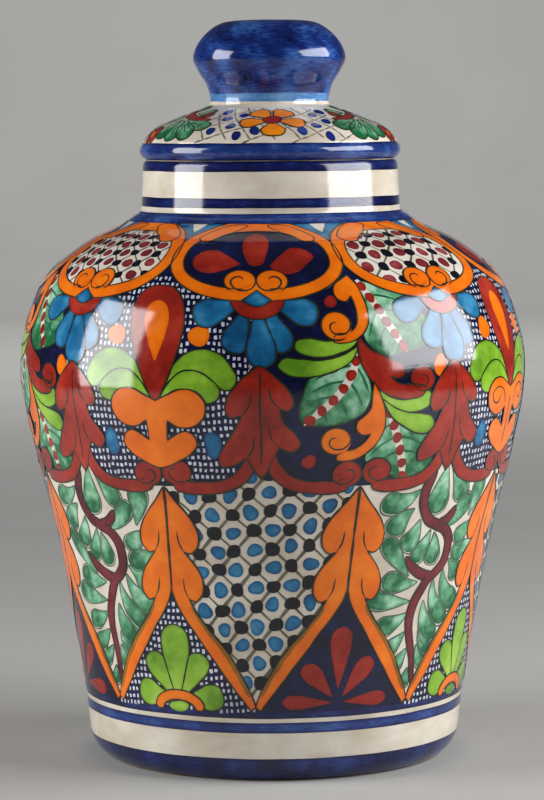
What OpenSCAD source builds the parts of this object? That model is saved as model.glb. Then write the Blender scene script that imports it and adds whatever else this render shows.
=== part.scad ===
// Lidded earthenware jar: a shouldered body with a luted neck, and a lid with a
// hollow knob and a locating ring. Millimetres, +Z up, origin at the centre of the foot.

/* [Body] */
// Diameter of the foot where it meets the table
foot_d = 228; // [200:2:240]
// Diameter just above the rounded foot
base_d = 254; // [246:2:260]
// Greatest diameter, at the belly
belly_d = 346; // [330:2:370]
// Height of the belly above the table
belly_z = 262; // [245:1:275]
// Height at which the neck stands on the shoulder
shoulder_z = 370; // [360:1:380]
// Thickness of the thrown wall
wall = 8; // [6:0.5:10]
// Thickness of the floor inside the foot
floor_t = 11; // [9:1:14]

/* [Foot ring] */
// Width of the unglazed ring that the jar stands on
foot_ring_w = 12; // [8:1:18]
// Depth of the recess inside the foot ring
foot_recess = 5; // [3:0.5:7]

/* [Neck] */
// Outside diameter of the neck
neck_d = 175; // [170:1:180]
// Height of the rim that the lid rests on
rim_z = 408; // [402:1:414]
// Diameter of the mouth
mouth_d = 157; // [152:1:160]
// Radius of the glaze fillet between neck and shoulder
neck_fillet = 5; // [3:0.5:6]

/* [Lid] */
// Diameter of the lid's rim
lid_d = 178; // [176:1:182]
// Height of the rounded band round the lid's rim
lid_band_h = 13; // [10:0.5:14]
// Height at which the knob stands on the dome
knob_z = 445.5; // [442:0.5:450]
// Thickness of the lid's wall
lid_wall = 7; // [5:0.5:8]
// Outside diameter of the ring that locates the lid in the mouth
ring_d = 150; // [144:1:151]
// Depth of the locating ring below the rim
ring_depth = 20; // [12:1:28]
// Thickness of the locating ring
ring_wall = 7; // [5:0.5:8]

/* [Knob] */
// Diameter of the knob's throat, where it meets the dome
throat_d = 79; // [74:1:84]
// Greatest diameter of the knob
knob_d = 104; // [98:1:110]
// Height of the top of the knob
top_z = 502.5; // [496:0.5:508]
// Thickness of the hollow knob's wall
knob_wall = 6; // [4.5:0.5:7]

/* [Hidden] */
$fn = 96;

foot_r = foot_d / 2;
base_r = base_d / 2;
belly_r = belly_d / 2;
neck_r = neck_d / 2;
mouth_r = mouth_d / 2;
lid_r = lid_d / 2;
ring_r = ring_d / 2;
throat_r = throat_d / 2;
knob_r = knob_d / 2;

// Steps of the spline between two of its control points
steps = 5;

// Control points [radius, height] of the body's outside, from the foot to the shoulder's edge.
// The wall above the foot swells as a share of the way from the base to the belly, and the
// shoulder turns in as a share of the way from the belly to the neck.
foot_curve = 15;
function swell(share_r, share_z) =
  [base_r + (belly_r - base_r) * share_r, foot_curve + (belly_z - foot_curve) * share_z];
function turn_in(share_r, share_z) =
  [belly_r + (neck_r - belly_r) * share_r, belly_z + (shoulder_z - belly_z) * share_z];
body_curve = [
  [foot_r, 0],
  [foot_r + 6, 3.5],
  swell(0, 0),
  swell(0.08, 0.12),
  swell(0.27, 0.34),
  swell(0.52, 0.58),
  swell(0.80, 0.79),
  swell(1, 1),
  turn_in(0.06, 0.35),
  turn_in(0.23, 0.63),
  turn_in(0.53, 0.83),
  turn_in(0.82, 0.94),
  [neck_r + 6, shoulder_z]
];

// Control points of the dome's upper face, from the rim band to the knob's throat
band_z = rim_z + lid_band_h;
band_r = lid_band_h / 2;
band_end = 45;
dome_rise = knob_z - band_z;
dome_curve = [
  [lid_r - band_r * (1 - cos(band_end)), rim_z + band_r * (1 + sin(band_end))],
  [lid_r - 4, band_z + 0.08 * dome_rise],
  [lid_r - 12, band_z + 0.38 * dome_rise],
  [throat_r + 15, band_z + 0.77 * dome_rise],
  [throat_r + 1, knob_z]
];

// Control points of the knob's outside, from its throat to the middle of its top
knob_h = top_z - knob_z;
knob_curve = [
  [throat_r + 1, knob_z],
  [throat_r + 0.8, knob_z + 0.08 * knob_h],
  [throat_r + 3.5, knob_z + 0.24 * knob_h],
  [knob_r - 3.5, knob_z + 0.4 * knob_h],
  [knob_r, knob_z + 0.57 * knob_h],
  [knob_r - 5, knob_z + 0.77 * knob_h],
  [knob_r - 16, knob_z + 0.94 * knob_h],
  [knob_r - 29, top_z],
  [0.01, top_z - 0.6]
];

// A point of a Catmull-Rom spline between b and c, at t from 0 to 1
function spline_point(a, b, c, d, t) =
  0.5 * (2 * b + (c - a) * t + (2 * a - 5 * b + 4 * c - d) * t * t
    + (3 * b - a - 3 * c + d) * t * t * t);

// A smooth line through a list of control points
function spline(p) = concat(
  [for (i = [0:len(p) - 2], k = [0:steps - 1])
    spline_point(p[max(i - 1, 0)], p[i], p[i + 1], p[min(i + 2, len(p) - 1)], k / steps)],
  [p[len(p) - 1]]);

// The same line moved by t towards its left, so inwards for a line that runs upwards
function moved_in(line, t) = [for (i = [0:len(line) - 1])
  let (
    along = line[min(i + 1, len(line) - 1)] - line[max(i - 1, 0)],
    left = [-along[1], along[0]] / norm(along)
  ) line[i] + t * left];

function reversed(line) = [for (i = [len(line) - 1:-1:0]) line[i]];
function above(line, z) = [for (p = line) if (p[1] > z) p];
function below(line, z) = [for (p = line) if (p[1] < z) p];
// Radius of a line where it crosses height z, and its height at radius r
function radius_at(line, z) = lookup(z, [for (p = line) [p[1], p[0]]]);
function height_at(line, r) = lookup(r, line);

// An arc of radius r about c, from angle a to angle b
function arc(c, r, a, b, n = 8) =
  [for (i = [0:n]) c + r * [cos(a + (b - a) * i / n), sin(a + (b - a) * i / n)]];

body_out = spline(body_curve);
body_in = moved_in(body_out, wall);
dome_out = spline(dome_curve);
knob_out = spline(knob_curve);
knob_in = moved_in(knob_out, knob_wall);

// Height of the inside of the floor, and the height where its rounded corner meets the wall
floor_z = foot_recess + floor_t;
corner = 8;
inner_base_r = radius_at(body_in, floor_z) - corner;
// Radius of the hole in the dome that opens into the knob
throat_in = throat_r + 1 - knob_wall;

// Body, floor and foot ring, thrown as one wall that is open at the shoulder
module jar_body() {
  cavity = above(body_in, floor_z + corner);
  color("orange") rotate_extrude()
    polygon(concat(
      [[foot_r - foot_ring_w, 0]],
      body_out,
      [[neck_r - wall, shoulder_z]],
      reversed(below(cavity, shoulder_z - wall / 2)),
      [[inner_base_r, floor_z], [0, floor_z], [0, foot_recess],
       [foot_r - foot_ring_w - foot_recess, foot_recess]]
    ));
}

// Neck collar, luted to the shoulder, with a filleted foot and a rounded rim
module jar_neck() {
  rim_r = 3.5;
  color("beige") rotate_extrude()
    polygon(concat(
      [[neck_r - wall, shoulder_z], [neck_r + 6, shoulder_z]],
      arc([neck_r + neck_fillet + 1, shoulder_z + neck_fillet + 0.5], neck_fillet, 250, 180),
      arc([neck_r - rim_r - 0.5, rim_z - rim_r], rim_r, 0, 90),
      arc([mouth_r + 2, rim_z - 2], 2, 90, 180),
      [[mouth_r, shoulder_z + 6]]
    ));
}

// Dome with its rounded rim band, resting on the rim of the neck, with a hole into the knob
module lid_dome() {
  under = moved_in(dome_out, lid_wall);
  ring_in = ring_r - ring_wall;
  color("cornsilk") rotate_extrude()
    polygon(concat(
      [[ring_in, rim_z], [lid_r - band_r + 1.5, rim_z]],
      arc([lid_r - band_r, rim_z + band_r], band_r, -band_end, band_end - 15),
      dome_out,
      [[throat_in, knob_z], [throat_in, knob_z - lid_wall]],
      reversed([for (p = below(under, knob_z - lid_wall)) if (p[0] < ring_in) p]),
      [[ring_in, height_at(under, ring_in)]]
    ));
}

// Ring under the dome that drops into the mouth and keeps the lid central
module lid_ring() {
  color("sandybrown") translate([0, 0, rim_z - ring_depth]) difference() {
    cylinder(r = ring_r, h = ring_depth);
    translate([0, 0, -1]) cylinder(r = ring_r - ring_wall, h = ring_depth + 2);
  }
}

// Hollow knob, luted to the dome and open towards the inside of the lid
module lid_knob() {
  hollow = [for (p = above(knob_in, knob_z + 2)) if (p[0] > 1) p];
  color("royalblue") rotate_extrude()
    polygon(concat(
      knob_out,
      [[0, top_z - 0.6], [0, hollow[len(hollow) - 1][1]]],
      reversed(hollow),
      [[throat_in, knob_z]]
    ));
}

jar_body();
jar_neck();
lid_dome();
lid_knob();
lid_ring();
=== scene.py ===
import math
import random

import bpy
import numpy as np
from mathutils import Matrix, Vector, noise
from mathutils.geometry import delaunay_2d_cdt


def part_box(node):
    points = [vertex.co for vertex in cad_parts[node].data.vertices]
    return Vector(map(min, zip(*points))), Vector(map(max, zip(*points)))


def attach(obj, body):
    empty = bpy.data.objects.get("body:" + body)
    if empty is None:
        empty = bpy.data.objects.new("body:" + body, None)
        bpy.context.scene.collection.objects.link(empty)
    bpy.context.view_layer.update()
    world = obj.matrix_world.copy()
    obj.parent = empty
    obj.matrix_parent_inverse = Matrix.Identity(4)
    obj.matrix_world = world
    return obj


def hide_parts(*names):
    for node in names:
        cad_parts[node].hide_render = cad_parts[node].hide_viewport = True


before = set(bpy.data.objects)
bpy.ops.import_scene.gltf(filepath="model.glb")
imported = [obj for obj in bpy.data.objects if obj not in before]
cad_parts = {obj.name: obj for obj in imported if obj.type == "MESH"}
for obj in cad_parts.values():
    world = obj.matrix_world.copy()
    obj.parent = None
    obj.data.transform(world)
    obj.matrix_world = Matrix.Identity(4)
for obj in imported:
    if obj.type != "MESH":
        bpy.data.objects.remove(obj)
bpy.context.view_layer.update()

MM = 0.001
COLUMNS = 256           # steps round the jar
LIFT = 0.06             # mm between the glaze and the first coat of paint
COAT = 0.09             # mm between one coat of paint and the next
ROOT = 0.04             # mm that the edge of a coat reaches down into the glaze
LINE = 1.0              # mm, width of the liner brush
INK = 0.4               # coats between a fill and the dark line round it
BROAD, FINE = 3.6, 2.6  # mm between the points inside a fill, on gentle and on tight curves
HALF = 22.5             # degrees from the axis of a panel to the axis of the next column
rng = random.Random(7)


# ------------------------------------------------------------------ lines and outlines

def curve(points, step, closed=False):
    """A smooth line through points in mm, sampled about every step. A point with a third value
    is a corner, where the line keeps its kink."""
    p = np.array([q[:2] for q in points], float)
    corner = [len(q) > 2 for q in points]
    n = len(p)
    spans = n if closed else n - 1
    chord = [max(np.linalg.norm(p[(i + 1) % n] - p[i]), 1e-6) for i in range(spans)]

    def slope(i, leaving):
        after = None if not closed and i == n - 1 else (p[(i + 1) % n] - p[i]) / chord[i % spans]
        before = None if not closed and i == 0 else (p[i] - p[i - 1]) / chord[i - 1]
        if before is None or (corner[i] and leaving):
            return after
        if after is None or corner[i]:
            return before
        a, b = chord[i - 1], chord[i % spans]
        return (before * b + after * a) / (a + b)

    out = []
    for i in range(spans):
        j = (i + 1) % n
        length = chord[i]
        m0, m1 = slope(i, True) * length, slope(j, False) * length
        t = np.linspace(0, 1, max(2, math.ceil(length / step)) + 1)[:-1, None]
        out.append((2 * t**3 - 3 * t**2 + 1) * p[i] + (t**3 - 2 * t**2 + t) * m0
                   + (3 * t**2 - 2 * t**3) * p[j] + (t**3 - t**2) * m1)
    if not closed:
        out.append(p[-1:])
    return np.vstack(out)


def lengths(line):
    """Distance along a line at each of its points."""
    return np.concatenate([[0], np.cumsum(np.linalg.norm(np.diff(line, axis=0), axis=1))])


def inside(points, outline):
    """Which of the points lie inside a closed outline."""
    x, y = points[:, :1], points[:, 1:2]
    x0, y0 = outline[:, 0], outline[:, 1]
    x1, y1 = np.roll(x0, -1), np.roll(y0, -1)
    rise = np.where(y1 == y0, 1e-9, y1 - y0)
    crosses = ((y0 > y) != (y1 > y)) & (x < (x1 - x0) * (y - y0) / rise + x0)
    return crosses.sum(axis=1) % 2 == 1


def distance(points, outline):
    """Distance in mm from each point to the nearest point of an outline."""
    return np.sqrt(((points[:, None, :] - outline[None, :, :]) ** 2).sum(-1)).min(1)


def sided(points, side):
    """Points as given for side 1, and mirrored about the panel's axis for side -1."""
    return [(side * q[0], *q[1:]) for q in points]


# ------------------------------------------------------------------ the thrown form

def section(node):
    """A CAD node's cross-section in mm, as (r, z) points in order round its outline, and whether
    it reaches the axis."""
    same = 0.15         # mm within which two vertices lie on one ring
    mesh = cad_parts[node].data
    co = np.array([v.co for v in mesh.vertices]) / MM
    rings, ring_of, found = [], {}, []
    for r, z in zip(np.hypot(co[:, 0], co[:, 1]), co[:, 2]):
        key = (round(r, 1), round(z, 1))
        if key not in ring_of:
            near = [i for i, q in enumerate(rings) if math.dist(q, (r, z)) < same]
            ring_of[key] = near[0] if near else len(rings)
            if not near:
                rings.append((r, z))
        found.append(ring_of[key])
    beside = [set() for _ in rings]
    for edge in mesh.edges:
        a, b = (found[v] for v in edge.vertices)
        if a != b:
            beside[a].add(b)
            beside[b].add(a)
    ends = [i for i, near in enumerate(beside) if len(near) == 1]
    walk = [ends[0] if ends else 0]
    while True:
        onward = [i for i in beside[walk[-1]] if i not in walk]
        if not onward:
            break
        walk.append(onward[0])
    line = [rings[i] for i in walk]
    if ends:    # a section that reaches the axis stops short of it, so its ends are carried there
        line = [(0.0, line[0][1])] + [q for q in line if q[0] > 2] + [(0.0, line[-1][1])]
    return line, bool(ends)


def with_corners(line, closed):
    """The line with its sharp kinks marked as corners."""
    sharp = 38          # degrees
    out = []
    for i, q in enumerate(line):
        if closed or 0 < i < len(line) - 1:
            a = np.subtract(q, line[i - 1])
            b = np.subtract(line[(i + 1) % len(line)], q)
            turn = abs(math.degrees(math.atan2(a[0] * b[1] - a[1] * b[0], a @ b)))
            out.append((*q, 1) if turn > sharp else tuple(q))
        else:
            out.append(tuple(q))
    return out


def outer_part(node, start, end):
    """The outside of a node's section between the points nearest to start and end."""
    line, _ = section(node)
    p, n = np.array(line), len(line)
    i, j = (int(np.argmin(np.hypot(*(p - q).T))) for q in (start, end))
    ways = [[line[k % n] for k in range(i, i + (j - i) % n + 1)],
            [line[k % n] for k in range(i, i - (i - j) % n - 1, -1)]]
    return max(ways, key=lambda way: sum(q[0] for q in way) / len(way))


def unevenness(phi, z):
    """How far the potter's hands leave the wall from a true circle, in mm."""
    turn = np.radians(phi)
    oval = 0.35 * np.sin(2 * turn + 0.9 + z / 160) + 0.2 * np.sin(3 * turn - z / 90)
    rings = 0.06 * np.sin(z * 0.13 + 1.3 * np.sin(turn))
    lean = 1.3 * np.sin(turn) * np.exp(-((z - 170) / 90) ** 2)
    return oval + rings + lean


class Surface:
    """The outside of a thrown piece. A place on it is an angle round it, in degrees from the front
    and positive to the right, and a distance up along the wall, in mm."""

    def __init__(self, line):
        self.line = curve(with_corners(line, False), 1.0)
        self.s = lengths(self.line)
        self.top = self.s[-1]

    def up_to(self, z):
        """Distance up along the wall to a height in mm."""
        return float(np.interp(z, self.line[:, 1], self.s))

    def degree(self, s):
        """Length in mm of one degree round the piece."""
        return float(np.interp(s, self.s, self.line[:, 0])) * math.pi / 180

    def point(self, phi, s):
        r = np.interp(s, self.s, self.line[:, 0])
        z = np.interp(s, self.s, self.line[:, 1])
        r = r + unevenness(phi, z)
        turn = np.radians(phi)
        return np.stack([r * np.sin(turn), -r * np.cos(turn), z], -1)

    def place(self, phi, s, lift):
        """Points in metres and their normals."""
        turn, reach = 0.15, 0.6     # degrees round and mm up to the neighbours
        s = np.clip(s, 0, self.top)
        here = self.point(phi, s)
        across = self.point(phi + turn, s) - self.point(phi - turn, s)
        up = self.point(phi, np.minimum(s + reach, self.top)) \
            - self.point(phi, np.maximum(s - reach, 0))
        normal = np.cross(across, up)
        normal /= np.linalg.norm(normal, axis=-1, keepdims=True)
        return (here + normal * np.reshape(lift, (-1, 1))) * MM, normal


# ------------------------------------------------------------------ meshes

def new_mesh_object(name, co, faces, materials):
    mesh = bpy.data.meshes.new(name)
    mesh.from_pydata([tuple(v) for v in co], [], faces)
    for m in materials:
        mesh.materials.append(m)
    mesh.polygons.foreach_set("use_smooth", [True] * len(mesh.polygons))
    mesh.update()
    obj = bpy.data.objects.new(name, mesh)
    bpy.context.scene.collection.objects.link(obj)
    return obj


def turned(name, line, to_axis, zone, materials, step):
    """A solid of revolution from a section line, which starts and ends on the axis (to_axis) or
    is a ring. zone gives the material of a stretch from the r and z of its middle and the
    direction in which it faces."""
    line = curve(with_corners(line, not to_axis), step, closed=not to_axis)
    area = np.sum(line[:, 0] * np.roll(line[:, 1], -1) - np.roll(line[:, 0], -1) * line[:, 1])
    if area < 0:
        line = line[::-1]
    n = len(line)
    phi = np.arange(COLUMNS) * 360 / COLUMNS
    turn = np.radians(phi)
    on_axis = line[:, 0] < 0.01
    co, ring = [], []
    for (r, z), axis in zip(line, on_axis):
        ring.append(len(co))
        if axis:
            co.append((0, 0, z * MM))
        else:
            share = min(1, r / 30)
            radius = (r + share * unevenness(phi, z)) * MM
            co += [(a * math.sin(t), -a * math.cos(t), z * MM) for a, t in zip(radius, turn)]
    faces, slots = [], []
    for i in range(n - 1 if to_axis else n):
        j = (i + 1) % n
        way = line[j] - line[i]
        facing = np.array([way[1], -way[0]]) / (np.linalg.norm(way) + 1e-9)
        slot = zone(*(line[i] + line[j]) / 2, *facing)
        if on_axis[i] and on_axis[j]:
            continue
        for c in range(COLUMNS):
            d = (c + 1) % COLUMNS
            if on_axis[i]:
                faces.append((ring[i], ring[j] + d, ring[j] + c))
            elif on_axis[j]:
                faces.append((ring[i] + c, ring[i] + d, ring[j]))
            else:
                faces.append((ring[i] + c, ring[i] + d, ring[j] + d, ring[j] + c))
            slots.append(slot)
    obj = new_mesh_object(name, co, faces, materials)
    obj.data.polygons.foreach_set("material_index", slots)
    with bpy.context.temp_override(object=obj, active_object=obj, selected_objects=[obj],
                                   selected_editable_objects=[obj]):
        bpy.ops.object.shade_smooth_by_angle(angle=math.radians(42))
    return obj


class Pigment:
    """One colour's coats on one body of the jar, gathered into a single mesh."""
    pots = {}

    def __init__(self, name):
        self.co, self.normal, self.edge, self.along, self.faces = [], [], [], [], []
        self.count = 0
        Pigment.pots[name] = self

    @staticmethod
    def named(name):
        return Pigment.pots.get(name) or Pigment(name)

    def add(self, co, normal, edge, along, faces):
        self.co.append(co)
        self.normal.append(normal)
        self.edge.append(edge)
        self.along.append(along)
        self.faces += [tuple(int(v) + self.count for v in f) for f in faces]
        self.count += len(co)

    def sheet(self, surface, phi, s, lift, edge, along, faces, rims):
        """A sheet of paint on a surface, with its edges (the rims) turned down into the glaze."""
        co, normal = surface.place(phi, s, np.full(len(phi), lift))
        self.add(co, normal, edge, along, faces)
        a = np.array([r[0] for r in rims])
        b = np.array([r[1] for r in rims])
        low, _ = surface.place(phi, s, np.full(len(phi), -ROOT))
        out = np.cross(co[b] - co[a], normal[a])
        out /= np.linalg.norm(out, axis=1, keepdims=True) + 1e-12
        n = len(a)
        quad = np.vstack([co[a], co[b], low[b], low[a]])
        faces = [(k + 3 * n, k + 2 * n, k + n, k) for k in range(n)]
        self.add(quad, np.vstack([out] * 4), np.zeros(4 * n), np.tile(along[a], 4), faces)

    def mesh(self, name, material):
        co, normal = np.vstack(self.co), np.vstack(self.normal)
        obj = new_mesh_object(name, co, self.faces, [material])
        for label, values in (("edge", self.edge), ("along", self.along)):
            attribute = obj.data.attributes.new(label, "FLOAT", "POINT")
            attribute.data.foreach_set("value", np.concatenate(values).astype(np.float32))
        obj.data.normals_split_custom_set_from_vertices([tuple(v) for v in normal])
        return obj


def rims_of(faces):
    """Edges that belong to one face only, in the direction of that face."""
    seen = {}
    for f in faces:
        for a, b in zip(f, f[1:] + f[:1]):
            seen[(a, b)] = seen.get((a, b), 0) + 1
    return [e for e in seen if (e[1], e[0]) not in seen]


# ------------------------------------------------------------------ the painter's hand

def smooth_noise(x, y, seed):
    return noise.noise(Vector((x, y, seed)))


def noise_round(turn, radius, height):
    """Smooth noise on a cylinder, which closes on itself round the jar. turn is in radians."""
    return smooth_noise(radius * math.sin(turn), radius * math.cos(turn), height)


def hand_jar(theta, s):
    """Where a stroke meant for angle theta lands on the jar: panels at the front were painted a
    little wider than at the back, their axes drift by a degree or so up the wall, and no two
    repeats are quite alike away from the front."""
    theta, s = np.atleast_1d(theta), np.atleast_1d(s)
    turn = np.radians(theta)
    drift = -3.8 + 1.4 * np.sin(2 * np.pi * (s - 150) / 400)
    loose = 0.15 + 0.85 * (1 - np.cos(turn)) / 2
    jig = np.array([noise_round(t, 3.1, v / 45) for t, v in zip(turn, s)])
    jog = np.array([noise_round(t, 2.7, 40 + v / 50) for t, v in zip(turn, s)])
    above_foot = np.clip((s - 45) / 40, 0, 1)
    return theta + 2 * np.sin(turn) + drift + 1.6 * loose * jig, s + 4 * loose * jog * above_foot


def hand_lid(theta, s):
    """On the small lid the brush lands where it is meant to."""
    return np.atleast_1d(theta), np.atleast_1d(s)


def quads(rows, columns, closed):
    """Faces between rows of points that are numbered row by row. Closed rows run in a ring."""
    faces = []
    for q in range(0, (rows - 1) * columns, columns):
        for i in range(columns if closed else columns - 1):
            j = (i + 1) % columns
            faces.append((q + i, q + j, q + columns + j, q + columns + i))
    return faces


def to_the_left(line, closed=False):
    """Unit vectors square to a line, at each of its points."""
    way = np.roll(line, -1, 0) - np.roll(line, 1, 0) if closed else np.gradient(line, axis=0)
    way /= np.linalg.norm(way, axis=1, keepdims=True) + 1e-9
    return np.column_stack([-way[:, 1], way[:, 0]])


class Brush:
    """Paints in a panel's own coordinates: x in degrees from the panel's axis, s in mm up the
    wall. Outlines, and what functions named _mm take, are in mm across and up, at k mm to a
    degree. level counts the coats of paint above the glaze."""
    taken = []          # outlines that are painted already, as (angle, s) points

    def __init__(self, surface, axis, hand, prefix, flip=1):
        self.surface, self.axis, self.hand = surface, axis, hand
        self.prefix, self.flip = prefix, flip

    def scale(self, points):
        return self.surface.degree(sum(q[1] for q in points) / len(points))

    def spot(self, q, k):
        return np.array([q[0] * k * self.flip, q[1]])

    def to_mm(self, points, k):
        return [(q[0] * k * self.flip, q[1], *q[2:]) for q in points]

    def lay(self, pigment, mm, k, level, edge, along, faces, rims=None):
        phi, s = self.hand(self.axis + mm[:, 0] / k, mm[:, 1])
        Pigment.named(self.prefix + pigment).sheet(
            self.surface, phi, s, LIFT + COAT * level, edge, along, faces, rims or rims_of(faces))

    def take(self, outline, k):
        """Notes the area inside an outline as painted."""
        Brush.taken.append(np.column_stack([self.axis + outline[:, 0] / k, outline[:, 1]]))

    def clear(self, cells, margin=0.0):
        """Which cells (x, s) lie outside everything painted so far, and by the margin in mm."""
        clear = np.ones(len(cells), bool)
        for outline in Brush.taken:
            x = outline[:, 0] - self.axis
            x = x - 360 * round(float(x.mean()) / 360)
            s = outline[:, 1]
            k = self.surface.degree(s.mean())
            near = (abs(cells[:, 0] - x.mean()) < np.ptp(x) / 2 + 3 + margin) & clear \
                & (abs(cells[:, 1] - s.mean()) < np.ptp(s) + margin)
            if near.any():
                mm, ring = cells[near] * [k, 1], np.column_stack([x * k, s])
                clear[near] = ~inside(mm, ring) & (distance(mm, ring) >= margin)
        return clear

    def fill_mm(self, pigment, outline, k, level, axis=None):
        """Fills a closed outline and shades it along an axis from base to end."""
        self.take(outline, k)
        pitch = BROAD if 60 < outline[:, 1].mean() < 285 else FINE
        low, high = outline.min(0), outline.max(0)
        xs = np.arange(low[0] + pitch / 3, high[0], pitch)
        ys = np.arange(low[1] + pitch / 3, high[1], pitch * 0.87)
        grid = np.array([(x + (j % 2) * pitch / 2, y) for j, y in enumerate(ys) for x in xs])
        grid = grid.reshape(-1, 2)
        if len(grid):
            grid = grid[inside(grid, outline)]
        if len(grid):
            grid = grid[distance(grid, outline) > 0.4 * pitch]
        verts = np.vstack([outline, grid]) if len(grid) else outline
        rim = [list(range(len(outline)))]
        mm, _, triangles = delaunay_2d_cdt([Vector(v) for v in verts], [], rim, 1, 1e-4)[:3]
        mm = np.array([tuple(v) for v in mm])
        faces = []
        for f in triangles:
            a, b, c = (mm[v] for v in f)
            area = (b[0] - a[0]) * (c[1] - a[1]) - (b[1] - a[1]) * (c[0] - a[0])
            if abs(area) > 1e-5:
                faces.append(tuple(f) if area > 0 else tuple(f[::-1]))
        if not faces:
            return
        edge = np.minimum(distance(mm, outline), 9)
        along = np.full(len(mm), 0.5)
        if axis is not None:
            base, end = axis
            along = np.clip((mm - base) @ (end - base) / ((end - base) @ (end - base)), 0, 1)
        self.lay(pigment, mm, k, level, edge, along, faces)

    def line_mm(self, pigment, centre, k, level, half, closed=False):
        """A ribbon of paint along a line. half is its half-width at each point."""
        side = to_the_left(centre, closed)
        half = np.broadcast_to(half, (len(centre),))
        across = (1, 0, -1) if half.max() > 1.6 else (1, -1)
        n = len(centre)
        mm = np.vstack([centre + side * half[:, None] * v for v in across])
        edge = np.concatenate([half * 0, half, half * 0] if len(across) > 2 else [half * 0.5] * 2)
        along = np.tile(np.linspace(0, 1, n), len(across))
        faces = [(a, d, c, b) for a, b, c, d in quads(len(across), n, closed)]
        self.lay(pigment, mm, k, level, edge, along, faces)

    def ink(self, outline, k, level, width=LINE, pigment="outline", closed=True):
        """A liner brush's dark line round an outline, thick and thin by turns."""
        seed = rng.random() * 50
        d = lengths(outline)
        half = width / 2 * np.array([1 + 0.55 * smooth_noise(v / 9, 0, seed) for v in d])
        if not closed:
            half = half * np.clip(np.minimum(d, d[-1] - d) / 5 + 0.3, 0, 1)
        self.line_mm(pigment, outline, k, level, half, closed)

    def shape(self, pigment, points, level, axis=None, outline=True, width=LINE):
        """A filled shape through its control points, with a dark line round it."""
        k = self.scale(points)
        line = curve(self.to_mm(points, k), 1.6, closed=True)
        self.fill_mm(pigment, line, k, level, axis and [self.spot(q, k) for q in axis])
        if outline:
            self.ink(line, k, level + INK, width)

    def mirrored(self, pigment, half, level, **more):
        """A shape given by its right half, from top to bottom."""
        other = [(-q[0], *q[1:]) for q in half[::-1] if abs(q[0]) > 1e-6]
        self.shape(pigment, half + other, level, **more)

    def petal(self, pigment, base, end, width, level, blunt=0.75, line=LINE, halo=0.0,
              liner="outline", neck=0.42, middle=None):
        """A petal or teardrop leaf from its pointed base to its round end. width is in mm. A halo
        leaves that many mm of bare glaze between the paint and the line round it. It bows sideways
        so as to pass through middle, if that is given."""
        k = self.surface.degree((base[1] + end[1]) / 2)
        b, e = self.spot(base, k), self.spot(end, k)
        way = e - b
        length = np.linalg.norm(way)
        way = way / length
        side = np.array([-way[1], way[0]])
        w = width / 2 * (1 + rng.uniform(-0.06, 0.06))
        bend = 0.0
        if middle is not None:
            off = self.spot(middle, k) - b
            share = float(np.clip(off @ way / length, 0.25, 0.75))
            bend = off @ side / (length * 4 * share * (1 - share))
        # its half-width, as a share, at shares of the way from base to end
        half = [(0.0, 0.05), (0.22, neck), (0.48, (1 + neck) * 0.55), (blunt, 1.0), (0.93, 0.74),
                (1.0, 0.0)]
        ring = half + [(t, -v) for t, v in half[-2::-1]]

        def outline(w, length):
            points = []
            for i, (t, v) in enumerate(ring):
                q = b + way * length * t + side * bend * length * 4 * t * (1 - t)
                along = way + side * bend * 4 * (1 - 2 * t)
                q = q + np.array([-along[1], along[0]]) / np.linalg.norm(along) * v * w
                points.append((*q, 1) if i in (0, len(ring) - 1) else tuple(q))
            return curve(points, 1.5, closed=True)

        self.fill_mm(pigment, outline(w, length), k, level, (b, e))
        if line:
            self.ink(outline(w + halo, length + halo), k, level + INK, line, liner)

    def stroke(self, pigment, points, level, width, ends=(1, 1), line=LINE):
        """A brush stroke of a given width in mm. ends are its widths at both ends, as shares."""
        k = self.scale(points)
        centre = curve(self.to_mm(points, k), 1.5)
        d = lengths(centre)
        half = width / 2 * np.interp(d / d[-1], [0, 0.35, 0.7, 1], [ends[0], 1, 1, ends[1]])
        half = half * np.array([1 + 0.12 * smooth_noise(v / 18, 3, len(points)) for v in d])
        for from_end in (d, d[-1] - d):
            near = np.clip(from_end / (width / 2), 0, 1)
            half = half * np.sqrt(np.clip(1 - (1 - near) ** 2, 0.02, 1))
        self.line_mm(pigment, centre, k, level, half)
        side = to_the_left(centre) * half[:, None]
        edge = np.vstack([centre + side, (centre - side)[::-1]])
        self.take(edge, k)
        self.ink(edge, k, level + INK, line)

    def pen(self, points, level, width=LINE, pigment="outline"):
        """A single dark line."""
        k = self.scale(points)
        self.ink(curve(self.to_mm(points, k), 1.5), k, level, width, pigment, closed=False)

    def dot(self, pigment, centre, rx, ry, level, corners=14, square=0.0, outline=False,
            rough=0.07, take=True):
        """A dab of paint with radii in mm. square above 0 gives it flatter sides."""
        k = self.surface.degree(centre[1])
        c = self.spot(centre, k)
        turn = np.linspace(0, 2 * np.pi, corners, endpoint=False)
        p1, p2, tilt = (rng.uniform(0, 6.3) for _ in range(3))
        wave = 1 + rough * np.sin(2 * turn + p1) + rough * 0.7 * np.sin(3 * turn + p2)
        wave = wave * (1 + square * np.abs(np.sin(2 * turn)) ** 1.5)
        ring = c + np.column_stack([rx * np.cos(turn), ry * np.sin(turn)]) * wave[:, None]
        if take:
            self.take(ring, k)
        rims = [(i, (i + 1) % corners) for i in range(corners)]
        edge = np.append(np.zeros(corners), min(rx, ry))
        self.lay(pigment, np.vstack([ring, c]), k, level, edge, np.full(corners + 1, tilt / 6.3),
                 [(*rim, corners) for rim in rims], rims)
        if outline:
            self.ink(ring, k, level + INK, LINE * 0.8)

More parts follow.
